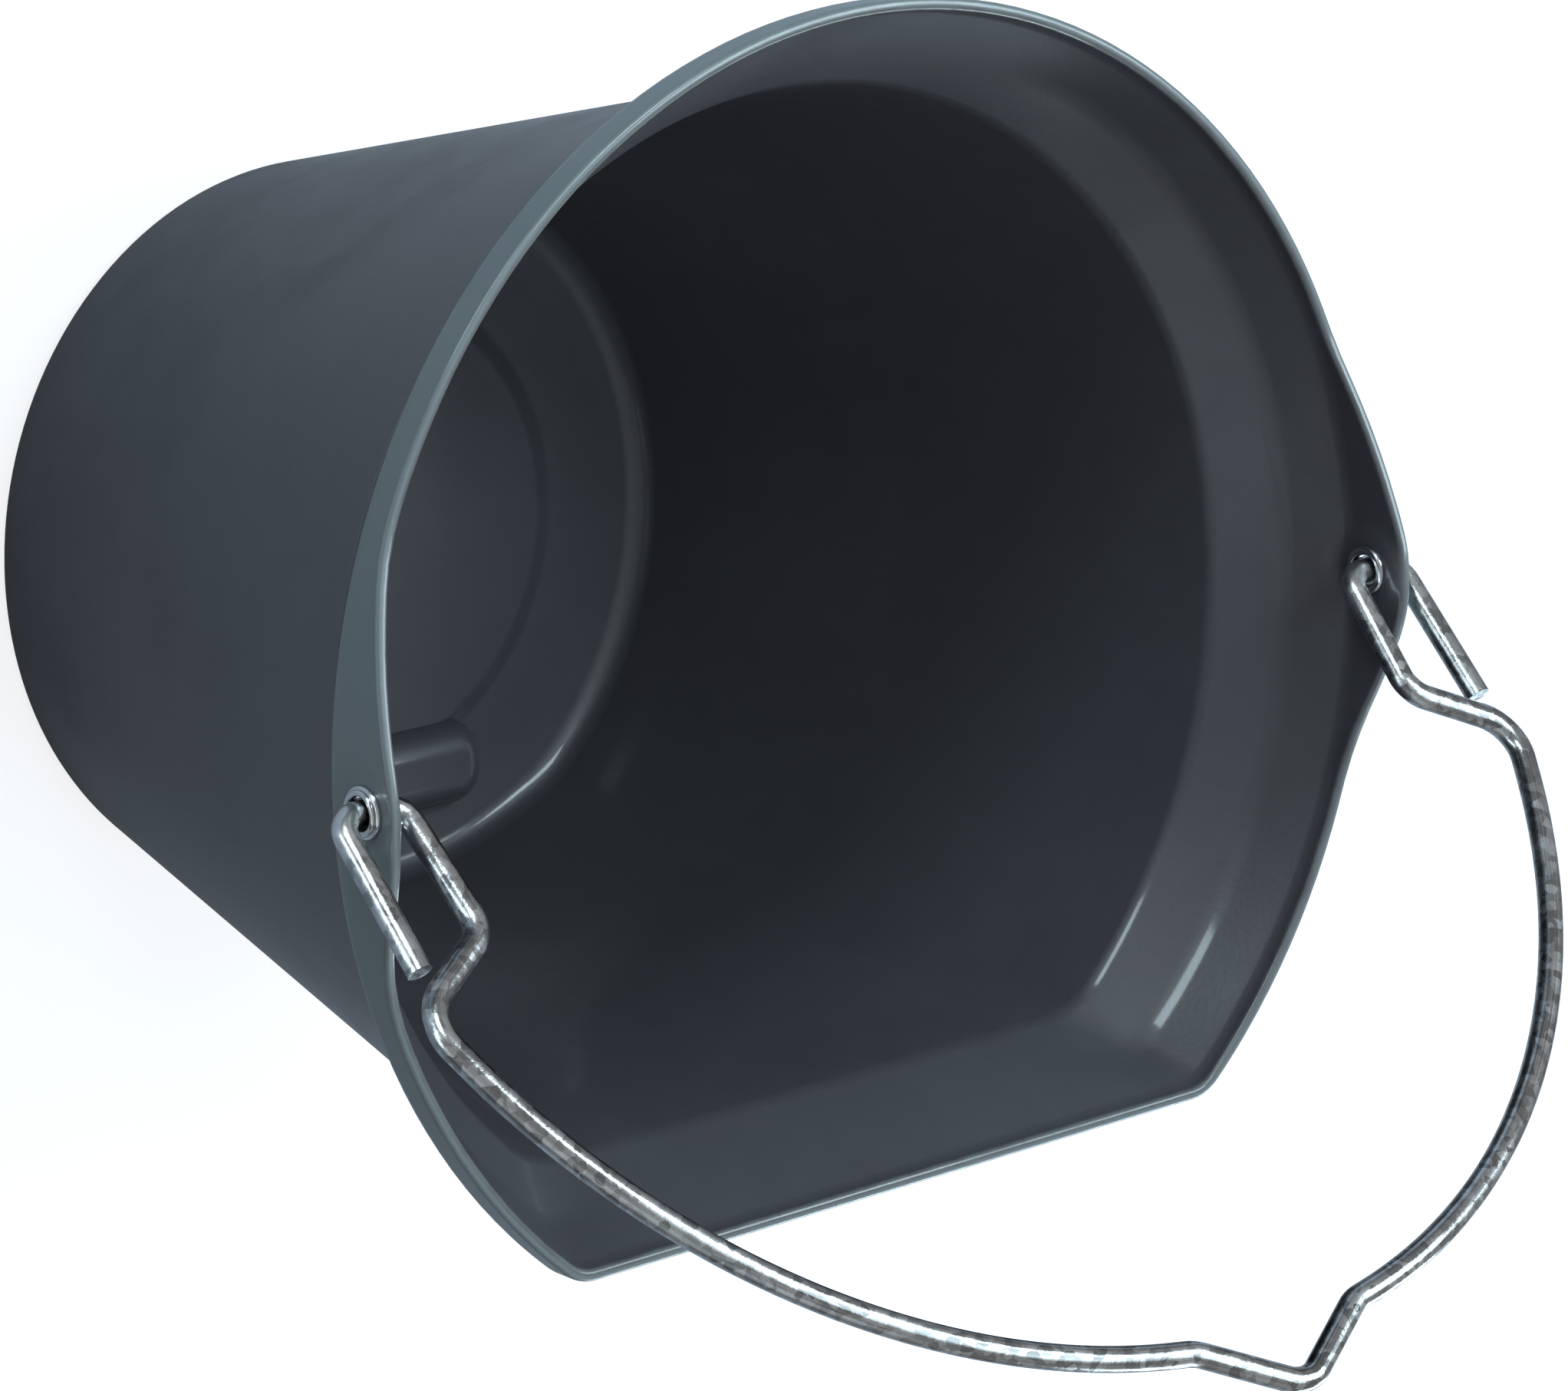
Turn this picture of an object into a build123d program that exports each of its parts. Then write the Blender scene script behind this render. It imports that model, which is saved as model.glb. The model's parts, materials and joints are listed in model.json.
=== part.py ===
"""Flat-back bucket: a moulded tapered shell with a flat rear wall, eyeleted ears and a hooked wire bail.

Frame: Z up along the bucket's axis, origin on the ground under that axis, flat back facing +Y, bail hinge
along X. Right means the +X side. All sizes are millimetres.
"""
import os
from math import asin, atan2, cos, degrees, hypot, sin, sqrt

from build123d import *

os.makedirs("parts", exist_ok=True)

# Mouth: a circle about the axis whose back is cut off flat
RIM_RADIUS = 170.0
RIM_CUT = 38.0          # how much the flat back takes off the circle
RIM_CORNER = 14.0       # where the flat meets the round
RIM_HEIGHT = 243.0
RIM_BAND = 9.0          # upright band at the top of the lip, which the ears continue
RIM_ROUND = 1.2         # rounding on both rim edges

# Flared lip between the body and the rim
LIP_HEIGHT = 35.0
LIP_FLARE = 21.0        # radial growth from the body to the rim

# Tapered body under the lip, from a round base to a flat-backed top
BODY_CUT = 33.0
BODY_CORNER = 30.0      # where the flat meets the round at the body's top
BASE_RADIUS = 99.0
BASE_FORWARD = 5.5      # the base's centre lies this far forward of the axis
BASE_ROUND = 4.0        # outer edge at the ground
WALL = 3.2

# Raised floor, standing inside a foot ring
FLOOR_HEIGHT = 25.0     # top of the floor's outer ring
FLOOR_THICKNESS = 4.0
FLOOR_ROUND = 6.0       # where the floor meets the wall
FOOT_WIDTH = 6.5        # width of the ring that stands on the ground
DISC_RADIUS = 68.5      # raised centre of the floor, at its foot
DISC_RISE = 3.0
DISC_SLOPE = 6.0        # how far the disc's edge leans in

# Finger recess under the flat back, a bump on the floor inside
GRIP_WIDTH = 74.0
GRIP_DEPTH = 23.5
GRIP_RISE = 10.0
GRIP_CORNER = 10.0
GRIP_ROUND = 8.0
GRIP_SETBACK = 15.3     # from the wall at the back of the base

# Ears: the rim rises to carry the bail
EAR_PEAK = 17.2         # height above the rim where the two ramps would meet
EAR_LEAN = 1.0          # outward lean over that rise
EAR_SET_BACK = 4.0      # the peak lies this far behind the hinge
EAR_FRONT = 61.0        # where the long ramp starts, forward of the hinge
EAR_BACK = 48.0         # where the short ramp ends, behind the hinge
EAR_PEAK_ROUND = 50.0
EAR_FOOT_ROUND = 60.0   # where a ramp leaves the level rim

# Pad on each ear, flat on both faces, that takes an eyelet
PAD_MARGIN = 1.5        # how far the pad shows round the eyelet's flange
PAD_THICKNESS = 3.2
PAD_INSET = 0.6         # its outer face lies this far inside the rim's radius
PAD_SKIRT = 9.0         # how deep the pad's skirt runs back from its outer face into the lip
PAD_DRAFT = 9.0         # how much the skirt spreads over that depth
HINGE_ABOVE_RIM = 2.5

# Eyelets, each clinched over a washer
WIRE = 6.5
BAIL_PLAY = 0.8         # radial room for the wire in the eyelet
EYELET_WALL = 0.7
EYELET_FIT = 0.02       # radial room of the barrel in the pad and the washer
FLANGE_WIDTH = 1.85     # of the flange inside the ear, and of the washer outside it
FLANGE_THICKNESS = 1.2
FLANGE_ROUND = 0.8
CLINCH_WIDTH = 1.0      # of the barrel's end, rolled over the washer
CLINCH_THICKNESS = 0.9
CLINCH_ROUND = 0.6

# Bail: hook, jog over the rim, long arc, hanging notch at the middle
HOOK_BEND = 6.0         # bend radius of the wire's centreline either side of the ear
HOOK_ROOM = 0.2         # straight wire beyond the clinch and the flange before a bend starts
HOOK_FREE_END = 43.0    # where the folded-back end is cut, from the hinge
JOG_ABOVE_END = 11.0    # height of the jog's outer corner above that cut end
JOG_RISE = 17.0         # from the jog's inner corner up to its outer one
JOG_LEAN = 3.0          # the inner leg leans in by this much
JOG_INNER_BEND = 8.0
JOG_OUTER_BEND = 12.0
JOG_LEAD = 3.0          # straight wire beyond the outer bend before the arc takes over
BAIL_OVERHANG = 23.0    # arc's radius beyond the pad's middle plane
NOTCH_HALF = 27.0       # half width of the notch
NOTCH_RISE = 14.5       # from the arc to the notch's sharp corner
NOTCH_BEND = 12.0
NOTCH_TIP_BEND = 9.0
WIRE_END_CHAMFER = 0.6
BAIL_ANGLE = 43.0       # rest angle above the rim plane, swung towards the flat back, in degrees

# How near two edges lie when they are at the same place
SAME_PLACE = 0.01

# The most of a corner's radius that a rounding across it may take
LARGEST_ROUND = 0.9

# Sizes worked out from the values above
BODY_TOP = RIM_HEIGHT - LIP_HEIGHT
PEAK_HEIGHT = RIM_HEIGHT + EAR_PEAK
BODY_RADIUS = RIM_RADIUS - LIP_FLARE
HINGE_Z = RIM_HEIGHT + HINGE_ABOVE_RIM
PAD_OUT = RIM_RADIUS - PAD_INSET
PAD_IN = PAD_OUT - PAD_THICKNESS
PAD_MID = (PAD_OUT + PAD_IN) / 2
BORE = WIRE / 2 + BAIL_PLAY
BARREL = BORE + EYELET_WALL
BARREL_HOLE = BARREL + EYELET_FIT
FLANGE_RADIUS = BARREL + FLANGE_WIDTH
CLINCH_RADIUS = BARREL + CLINCH_WIDTH
PAD_RADIUS = FLANGE_RADIUS + PAD_MARGIN
WASHER_OUT = PAD_OUT + FLANGE_THICKNESS
CLINCH_OUT = WASHER_OUT + CLINCH_THICKNESS
FLANGE_IN = PAD_IN - FLANGE_THICKNESS
BAIL_RADIUS = PAD_MID + BAIL_OVERHANG
JOG_OUTER = HOOK_FREE_END + JOG_ABOVE_END
JOG_INNER = JOG_OUTER - JOG_RISE


def d_section(radius, cut, corner, height, inset):
    """Outline at one height as a face: a circle with a flat back and round corners, drawn in by inset."""
    outer = radius - inset
    flat = radius - cut - inset
    bend = corner - inset
    centre = Vector(0, flat - bend)
    centre.X = sqrt((outer - bend) ** 2 - centre.Y ** 2)
    touch = centre.normalized() * outer
    middle = centre + (centre.normalized() + Vector(0, 1)).normalized() * bend
    with BuildSketch(Plane.XY.offset(height)) as section:
        with BuildLine():
            ThreePointArc((-touch.X, touch.Y), (0, -outer), (touch.X, touch.Y))
            ThreePointArc((touch.X, touch.Y), (middle.X, middle.Y), (centre.X, flat))
            Line((centre.X, flat), (-centre.X, flat))
            ThreePointArc((-centre.X, flat), (-middle.X, middle.Y), (-touch.X, touch.Y))
        make_face()
    return section.sketch.face()


def base_section(inset):
    """Round face at the ground, split below the places where the body's corners begin and end."""
    radius = BASE_RADIUS - inset
    flat = BODY_RADIUS - BODY_CUT
    reach = BODY_RADIUS - BODY_CORNER
    lean = asin((flat - BODY_CORNER) / reach)
    corner_start = degrees(lean)
    corner_end = degrees(atan2(flat, reach * cos(lean)))
    with BuildSketch() as section:
        with BuildLine():
            centre = (0, -BASE_FORWARD)
            CenterArc(centre, radius, 180 - corner_start, 180 + 2 * corner_start)
            CenterArc(centre, radius, corner_start, corner_end - corner_start)
            CenterArc(centre, radius, corner_end, 180 - 2 * corner_end)
            CenterArc(centre, radius, 180 - corner_end, corner_end - corner_start)
        make_face()
    return section.sketch.face()


def tapered(inset):
    """Body, flared lip and upright collar, drawn in by inset: 0 for the outside, WALL for the hollow."""
    sections = [
        base_section(inset),
        d_section(BODY_RADIUS, BODY_CUT, BODY_CORNER, BODY_TOP, inset),
        d_section(RIM_RADIUS, RIM_CUT, RIM_CORNER, RIM_HEIGHT - RIM_BAND, inset),
        d_section(RIM_RADIUS, RIM_CUT, RIM_CORNER, PEAK_HEIGHT, inset - EAR_LEAN),
    ]
    return [loft([low, high], ruled=True) for low, high in zip(sections, sections[1:])]


def slab(low, high):
    """A block wider than the bucket between two heights."""
    size = 4 * RIM_RADIUS
    return Pos(0, 0, (low + high) / 2) * Box(size, size, high - low)


def floor_disc(drop):
    """The floor's raised centre, lowered by drop for its underside."""
    top = DISC_RADIUS - DISC_SLOPE
    cone = Cone(DISC_RADIUS, top, DISC_RISE, align=(Align.CENTER, Align.CENTER, Align.MIN))
    return Pos(0, -BASE_FORWARD, FLOOR_HEIGHT - drop) * cone


def grip(inset, low):
    """The finger recess: the bump on the floor for inset 0, the room under it for the floor's thickness."""
    top = FLOOR_HEIGHT + GRIP_RISE - inset
    back = BASE_RADIUS - BASE_FORWARD - WALL - GRIP_SETBACK
    corner = min(GRIP_CORNER - inset, LARGEST_ROUND * (GRIP_DEPTH / 2 - inset))
    with BuildPart() as block:
        with BuildSketch(Plane.XY.offset(low)):
            with Locations((0, back - GRIP_DEPTH / 2)):
                RectangleRounded(GRIP_WIDTH - 2 * inset, GRIP_DEPTH - 2 * inset, corner)
        extrude(amount=top - low)
        fillet(block.faces().sort_by(Axis.Z)[-1].edges(), min(GRIP_ROUND, LARGEST_ROUND * corner))
    return block.part


def hollow():
    """The room inside the bucket above its floor, in two solids."""
    body, lip, collar = tapered(WALL)
    room = body + lip - slab(-FLOOR_HEIGHT, FLOOR_HEIGHT)
    room = fillet(room.faces().sort_by(Axis.Z)[0].edges(), FLOOR_ROUND)
    return [room - floor_disc(0) - grip(0, FLOOR_HEIGHT - FLOOR_THICKNESS / 2), collar]


def underside():
    """The room under the floor, inside the foot ring."""
    ceiling = FLOOR_HEIGHT - FLOOR_THICKNESS
    align = (Align.CENTER, Align.CENTER, Align.MIN)
    room = Pos(0, -BASE_FORWARD, 0) * Cylinder(BASE_RADIUS - FOOT_WIDTH, ceiling, align=align)
    return room + floor_disc(FLOOR_THICKNESS) + grip(FLOOR_THICKNESS, ceiling - GRIP_ROUND)


def above_rim():
    """What is cut off the collar: all above a level line that ramps up over the ears."""
    end = 2 * RIM_RADIUS
    with BuildPart() as block:
        with BuildSketch(Plane.YZ):
            with BuildLine():
                line = FilletPolyline(
                    (-end, RIM_HEIGHT),
                    (-EAR_FRONT, RIM_HEIGHT),
                    (EAR_SET_BACK, PEAK_HEIGHT),
                    (EAR_BACK, RIM_HEIGHT),
                    (end, RIM_HEIGHT),
                    radius=[EAR_FOOT_ROUND, EAR_PEAK_ROUND, EAR_FOOT_ROUND],
                )
                Polyline(line @ 1, (end, end + RIM_HEIGHT), (-end, end + RIM_HEIGHT), line @ 0)
            make_face()
        extrude(amount=end, both=True)
    return block.part


def rim_band():
    """The upright band at the rim, with its ears and both edges rounded."""
    band = tapered(0)[-1] - tapered(WALL)[-1] - above_rim()
    top_edges = [edge for edge in band.edges() if edge.bounding_box().min.Z > RIM_HEIGHT - RIM_ROUND]
    return fillet(top_edges, RIM_ROUND)


def along_x(shape, start):
    """A shape made along Z, laid along X on the hinge line with its foot at start."""
    return Pos(start, 0, HINGE_Z) * Rot(0, 90, 0) * shape


def disc(radius, start, end):
    """A cylinder on the hinge line between two places on X."""
    align = (Align.CENTER, Align.CENTER, Align.MIN)
    return along_x(Cylinder(radius, end - start, align=align), start)


def pad_skirt():
    """The outside of the right ear's pad, running back to the lip below the rim."""
    align = (Align.CENTER, Align.CENTER, Align.MIN)
    skirt = Cone(PAD_RADIUS + PAD_DRAFT, PAD_RADIUS, PAD_SKIRT, align=align)
    return along_x(skirt, PAD_OUT - PAD_SKIRT) & slab(0, RIM_HEIGHT)


def pad_seats():
    """What is faced off both sides of the right ear's pad, and its hole for the eyelet."""
    inside = disc(PAD_RADIUS, PAD_IN - LIP_FLARE, PAD_IN)
    outside = disc(PAD_RADIUS, PAD_OUT, PAD_OUT + LIP_FLARE)
    return inside + outside + disc(BARREL_HOLE, PAD_IN, PAD_OUT)


def both_sides(shape):
    """A shape on the right and its mirror image on the left."""
    return [shape, mirror(shape, Plane.YZ)]


def bucket_shell():
    """The one-piece moulding, with both ears pierced for their eyelets."""
    body, lip, _ = tapered(0)
    vessel = body + lip
    vessel = fillet(vessel.faces().sort_by(Axis.Z)[0].edges(), BASE_ROUND)
    vessel = vessel + both_sides(pad_skirt()) - hollow() - underside()
    shell = vessel + rim_band() + both_sides(disc(PAD_RADIUS, PAD_IN, PAD_OUT))
    return shell - both_sides(pad_seats())


def turned(points):
    """A ring turned about the hinge line from its half section, given as (x, radius) points."""
    with BuildPart() as ring:
        with BuildSketch(Plane.XY):
            with BuildLine():
                Polyline(*points, close=True)
            make_face()
        revolve(axis=Axis.X)
    return Pos(0, 0, HINGE_Z) * ring.part


def outermost_edges(ring, radius, place):
    """The circular edges of a ring that have this radius and lie at this place on X."""
    return [
        edge
        for edge in ring.edges().filter_by(GeomType.CIRCLE)
        if abs(edge.radius - radius) < SAME_PLACE and abs(edge.arc_center.X - place) < SAME_PLACE
    ]


def eyelet():
    """The right eyelet: a flange inside the ear, a barrel through it and a collar rolled over the washer."""
    ring = turned(
        [
            (FLANGE_IN, BORE),
            (FLANGE_IN, FLANGE_RADIUS),
            (PAD_IN, FLANGE_RADIUS),
            (PAD_IN, BARREL),
            (WASHER_OUT, BARREL),
            (WASHER_OUT, CLINCH_RADIUS),
            (CLINCH_OUT, CLINCH_RADIUS),
            (CLINCH_OUT, BORE),
        ]
    )
    ring = fillet(outermost_edges(ring, FLANGE_RADIUS, FLANGE_IN), FLANGE_ROUND)
    return fillet(outermost_edges(ring, CLINCH_RADIUS, CLINCH_OUT), CLINCH_ROUND)


def washer():
    """The washer outside the right ear, under the eyelet's collar."""
    ring = turned(
        [
            (PAD_OUT, BARREL_HOLE),
            (PAD_OUT, FLANGE_RADIUS),
            (WASHER_OUT, FLANGE_RADIUS),
            (WASHER_OUT, BARREL_HOLE),
        ]
    )
    return fillet(outermost_edges(ring, FLANGE_RADIUS, WASHER_OUT), FLANGE_ROUND)


def bail_path():
    """The wire's centreline, flat on XY with the hinge on X and the notch towards +Y."""
    free_x = CLINCH_OUT + HOOK_ROOM + HOOK_BEND
    leg_x = FLANGE_IN - HOOK_ROOM - HOOK_BEND
    lead = JOG_OUTER_BEND + JOG_LEAD
    start = asin(JOG_OUTER / hypot(BAIL_RADIUS, lead)) + atan2(lead, BAIL_RADIUS)
    arc_start = Vector(cos(start), sin(start)) * BAIL_RADIUS
    jog_out = arc_start + Vector(sin(start), -cos(start)) * lead
    arc_end = Vector(NOTCH_HALF + NOTCH_BEND / 2, 0)
    arc_end.Y = sqrt(BAIL_RADIUS ** 2 - arc_end.X ** 2)
    onward = Vector(-arc_end.Y, arc_end.X).normalized()
    notch_foot = arc_end + onward * (NOTCH_BEND / 2)
    notch_tip = (0, BAIL_RADIUS + NOTCH_RISE)
    with BuildLine() as path:
        FilletPolyline(
            (free_x, HOOK_FREE_END),
            (free_x, 0),
            (leg_x, 0),
            (leg_x - JOG_LEAN, JOG_INNER),
            (jog_out.X, jog_out.Y),
            (arc_start.X, arc_start.Y),
            radius=[HOOK_BEND, HOOK_BEND, JOG_INNER_BEND, JOG_OUTER_BEND],
        )
        CenterArc((0, 0), BAIL_RADIUS, degrees(start), arc_start.get_angle(arc_end))
        mirror(path.edges(), about=Plane.YZ)
        FilletPolyline(
            (arc_end.X, arc_end.Y),
            (notch_foot.X, notch_foot.Y),
            notch_tip,
            (-notch_foot.X, notch_foot.Y),
            (-arc_end.X, arc_end.Y),
            radius=[NOTCH_BEND, NOTCH_TIP_BEND, NOTCH_BEND],
        )
    return path.wire()


def bail():
    """The bent wire, swung to its rest angle about the hinge."""
    path = bail_path()
    with BuildPart() as wire:
        with BuildSketch(Plane(path @ 0, z_dir=path % 0)):
            Circle(WIRE / 2)
        sweep(path=path)
        cut_ends = wire.faces().filter_by(GeomType.PLANE).edges()
        chamfer(cut_ends, WIRE_END_CHAMFER)
    print("length of wire in the bail:", round(path.length), "mm")
    return Pos(0, 0, HINGE_Z) * Rot(BAIL_ANGLE, 0, 0) * wire.part


pieces = {
    "bucket_shell": bucket_shell(),
    "right_eyelet": eyelet(),
    "left_eyelet": mirror(eyelet(), Plane.YZ),
    "right_washer": washer(),
    "left_washer": mirror(washer(), Plane.YZ),
    "bail": bail(),
}
for name, piece in pieces.items():
    export_step(piece, f"parts/{name}.step")
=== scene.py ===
# %% [markdown]
# A flat-back bucket, dressed for the camera
#
# The object is a moulded stable bucket with a flat rear wall and a swinging wire bail. Its construction
# comes from a CAD frame, which fixes every size and the hinge. This script models what the eye sees: the
# moulding, the four rings in its ears and the bent wire, each with a finish of its own. All lengths are
# metres, in the frame's axes: Z up the bucket's axis, flat back facing +Y, hinge along X.

# %% Load the frame
import json
from math import asin, atan2, cos, degrees, hypot, pi, radians, sin, sqrt, tan

import bmesh
import bpy
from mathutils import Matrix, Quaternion, Vector


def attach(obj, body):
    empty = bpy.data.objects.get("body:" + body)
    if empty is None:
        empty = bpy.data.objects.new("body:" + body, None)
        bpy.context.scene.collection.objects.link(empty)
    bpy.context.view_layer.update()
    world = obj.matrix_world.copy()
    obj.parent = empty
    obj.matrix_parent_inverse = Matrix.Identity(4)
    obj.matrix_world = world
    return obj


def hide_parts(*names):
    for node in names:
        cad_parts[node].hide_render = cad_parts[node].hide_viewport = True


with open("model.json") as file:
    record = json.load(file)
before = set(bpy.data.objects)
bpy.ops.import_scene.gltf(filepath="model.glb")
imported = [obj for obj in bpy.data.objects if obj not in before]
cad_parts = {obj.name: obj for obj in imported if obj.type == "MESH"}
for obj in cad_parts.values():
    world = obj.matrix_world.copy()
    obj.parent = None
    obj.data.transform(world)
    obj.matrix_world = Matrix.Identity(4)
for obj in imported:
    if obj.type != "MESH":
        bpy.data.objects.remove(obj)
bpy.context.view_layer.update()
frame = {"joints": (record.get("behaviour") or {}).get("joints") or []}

MM = 0.001

# %% [markdown]
# The camera
#
# The photograph looks down into the mouth from the right, with the camera rolled until the flat back lies
# at the bottom of the picture. A long lens a couple of metres away keeps the perspective as mild as it is
# there. The camera is first aimed level, then rolled about its own view axis, which is easier to read
# than three mixed angles.

# %% Camera
CAMERA_AZIMUTH = radians(69.310)
CAMERA_ELEVATION = radians(47.144)
CAMERA_ROLL = radians(103.745)
CAMERA_AIM = Vector((-22.33, 19.02, 175.62)) * MM
CAMERA_DISTANCE = 1856.2 * MM
LENS = 164.69
SENSOR = 36.0


def direction(azimuth, elevation):
    """The way from the object to something seen at this azimuth and elevation; azimuth 0 is the -Y side."""
    level = cos(elevation)
    return Vector((sin(azimuth) * level, -cos(azimuth) * level, sin(elevation)))


backward = direction(CAMERA_AZIMUTH, CAMERA_ELEVATION)
bpy.ops.object.camera_add(location=CAMERA_AIM + backward * CAMERA_DISTANCE)
camera = bpy.context.object
camera.name = "photo_camera"
camera.rotation_mode = "QUATERNION"
camera.rotation_quaternion = (-backward).to_track_quat("-Z", "Y") @ Quaternion((0, 0, 1), CAMERA_ROLL)
camera.data.sensor_width = SENSOR
camera.data.lens = LENS
bpy.context.scene.camera = camera
print("camera stands at", [round(value, 3) for value in camera.location])

# %% [markdown]
# The studio
#
# The bucket stands on a plain pale floor in a white room. A dark satin moulding shows little but
# reflections, so most lights are placed by where they are mirrored. The front strip draws the two thin
# streaks beside the corner of the flat back. The main softbox, in front and above, lights the inner floor
# towards the flat back and draws the line along its edge. The softbox opposite the camera whitens the
# rim, a dim wide card gives the soft band along the far side of the lip, and the side strip, which is
# lower than the rim, is mirrored by the wire alone. The back fill keeps the far side from going black.
# The front fill and the top softbox only brighten, and are hidden from reflections, where they would draw
# a line. The floor and the room are white where the camera sees them and greyer where the bucket does, as
# a photographer does with black cards.

# %% Studio floor
FLOOR_SIZE = 12.0
FLOOR_TONE = (0.21, 0.22, 0.245, 1)
FLOOR_GLOW = 0.80
FLOOR_ROUGHNESS = 0.9
WHITE = (1, 1, 1, 1)


def add_node(tree, kind, **values):
    """A new shader node with its attributes, and its input sockets by name, set."""
    node = tree.nodes.new(kind)
    for name, value in values.items():
        if name in node.inputs:
            node.inputs[name].default_value = value
        else:
            setattr(node, name, value)
    return node


def deselect():
    """Go back to object mode, with nothing selected."""
    if bpy.context.object and bpy.context.object.mode != "OBJECT":
        bpy.ops.object.mode_set(mode="OBJECT")
    bpy.ops.object.select_all(action="DESELECT")


deselect()
bpy.ops.mesh.primitive_plane_add(size=FLOOR_SIZE)
floor = bpy.context.object
floor.name = "studio_floor"
floor_paint = bpy.data.materials.new("floor_paint")
floor_paint.use_nodes = True
tree = floor_paint.node_tree
paint = tree.nodes["Principled BSDF"]
paint.inputs["Base Color"].default_value = FLOOR_TONE
paint.inputs["Roughness"].default_value = FLOOR_ROUGHNESS
paint.inputs["Specular IOR Level"].default_value = 0.0
paint.inputs["Emission Color"].default_value = WHITE
path = add_node(tree, "ShaderNodeLightPath")
glow = add_node(tree, "ShaderNodeMath", operation="MULTIPLY")
glow.inputs[1].default_value = FLOOR_GLOW
tree.links.new(path.outputs["Is Camera Ray"], glow.inputs[0])
tree.links.new(glow.outputs["Value"], paint.inputs["Emission Strength"])
floor.data.materials.append(floor_paint)
print("studio floor:", FLOOR_SIZE, "m square")

# %% White room
ROOM_SEEN = 0.93
ROOM_FELT = 0.33

room = bpy.data.worlds.new("white_room")
room.use_nodes = True
tree = room.node_tree
air = tree.nodes["Background"]
air.inputs["Color"].default_value = WHITE
path = add_node(tree, "ShaderNodeLightPath")
tone = add_node(tree, "ShaderNodeMapRange")
tone.inputs["To Min"].default_value = ROOM_FELT
tone.inputs["To Max"].default_value = ROOM_SEEN
tree.links.new(path.outputs["Is Camera Ray"], tone.inputs["Value"])
tree.links.new(tone.outputs["Result"], air.inputs["Strength"])
bpy.context.scene.world = room
bpy.context.scene.view_settings.view_transform = "Standard"
print("room:", ROOM_SEEN, "bright to the camera and", ROOM_FELT, "to the bucket")

# %% Softboxes
COOL = (0.75, 0.93, 1.0)
SOFTBOX_AIM = Vector((0, 0, 150)) * MM


def softbox(name, azimuth, elevation, distance, width, height, power, mirrored=True):
    """A cool light aimed at the bucket, in degrees, metres and watts; unmirrored, it only brightens."""
    away = direction(radians(azimuth), radians(elevation))
    bpy.ops.object.light_add(type="AREA", location=SOFTBOX_AIM + away * distance)
    light = bpy.context.object
    light.name = name
    light.rotation_euler = (-away).to_track_quat("-Z", "Y").to_euler()
    light.data.shape = "RECTANGLE"
    light.data.size = width
    light.data.size_y = height
    light.data.energy = power
    light.data.color = COOL
    light.visible_glossy = mirrored
    return light


softbox("front_strip", 31, 21, 1.7, 0.6, 0.3, 10.5)
softbox("front_fill", 345, 8, 1.7, 1.2, 0.3, 14, mirrored=False)
softbox("side_strip", 78, 0, 1.7, 1.2, 0.22, 5)
softbox("back_fill", 218, 8, 1.7, 1.0, 0.3, 24)
softbox("main_softbox", 345, 57, 1.8, 0.9, 0.3, 20)
softbox("top_softbox", 180, 80, 1.8, 1.6, 1.6, 25, mirrored=False)
softbox("rim_softbox", 284, 49, 1.7, 0.7, 0.5, 19)
softbox("wash_card", 135, 30, 2.0, 2.4, 1.0, 2.5)
softboxes = [piece.name for piece in bpy.data.objects if piece.type == "LIGHT"]
print("softboxes:", softboxes)

# %% [markdown]
# The moulding's outline
#
# Seen from above, the mouth is a circle whose back is cut off flat, with round corners. The body below
# narrows to a plain round base that sits a little forward. A polar formula gives the wall's distance from
# the axis at any angle and height, drawn in by an inset: none for the outside, the wall's thickness for
# the inside. Everything else about the moulding is then a matter of choosing heights. The lip is straight
# outside. Inside, the photograph shows a second, softer bend half way up at both sides, a shoulder that
# fades out towards the front and the back.

# %% Outlines from above
BASE_RADIUS = 99 * MM
BASE_FORWARD = 5.5 * MM


def flat_backed(angle, radius, cut, corner, inset):
    """Distance from the axis to a circle with a flat back and round corners."""
    radius, back, corner = radius - inset, radius - cut - inset, corner - inset
    sideways, backwards = abs(cos(angle)), sin(angle)
    centre_y = back - corner
    centre_x = sqrt((radius - corner) ** 2 - centre_y ** 2)
    along = atan2(backwards, sideways)
    if along <= atan2(centre_y, centre_x):
        return radius
    if along >= atan2(back, centre_x):
        return back / backwards
    reach = centre_x * sideways + centre_y * backwards
    return reach + sqrt(reach ** 2 - centre_x ** 2 - centre_y ** 2 + corner ** 2)


def round_base(angle, inset):
    """Distance from the axis to the round base, whose centre lies forward."""
    toward = -BASE_FORWARD * sin(angle)
    return toward + sqrt(toward ** 2 - BASE_FORWARD ** 2 + (BASE_RADIUS - inset) ** 2)


print("the base reaches", round(round_base(pi / 2, 0) / MM, 1), "mm back from the axis")

# %% Wall at any height
RIM_RADIUS = 170 * MM
RIM_CUT = 38 * MM
RIM_CORNER = 14 * MM
RIM_HEIGHT = 243 * MM
COLLAR_FOOT = 234 * MM
INNER_COLLAR = 239.3 * MM
SHOULDER_HEIGHT = 222.6 * MM
SHOULDER_SHARE = 0.63
# where the shoulder begins and where it is full, as cosines of the angle from the hinge line
SHOULDER_FRONT = (0.35, 0.60)
SHOULDER_BACK = (0.50, 0.64)
BODY_TOP = 208 * MM
BODY_RADIUS = 149 * MM
BODY_CUT = 33 * MM
BODY_CORNER = 30 * MM
WALL = 3.2 * MM
EAR_PEAK = 17.2 * MM
EAR_LEAN = 1 * MM


def faded(share):
    """1 up to 0, 0 from 1 on, and a soft step between."""
    share = min(max(share, 0), 1)
    return 1 - share * share * (3 - 2 * share)


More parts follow.
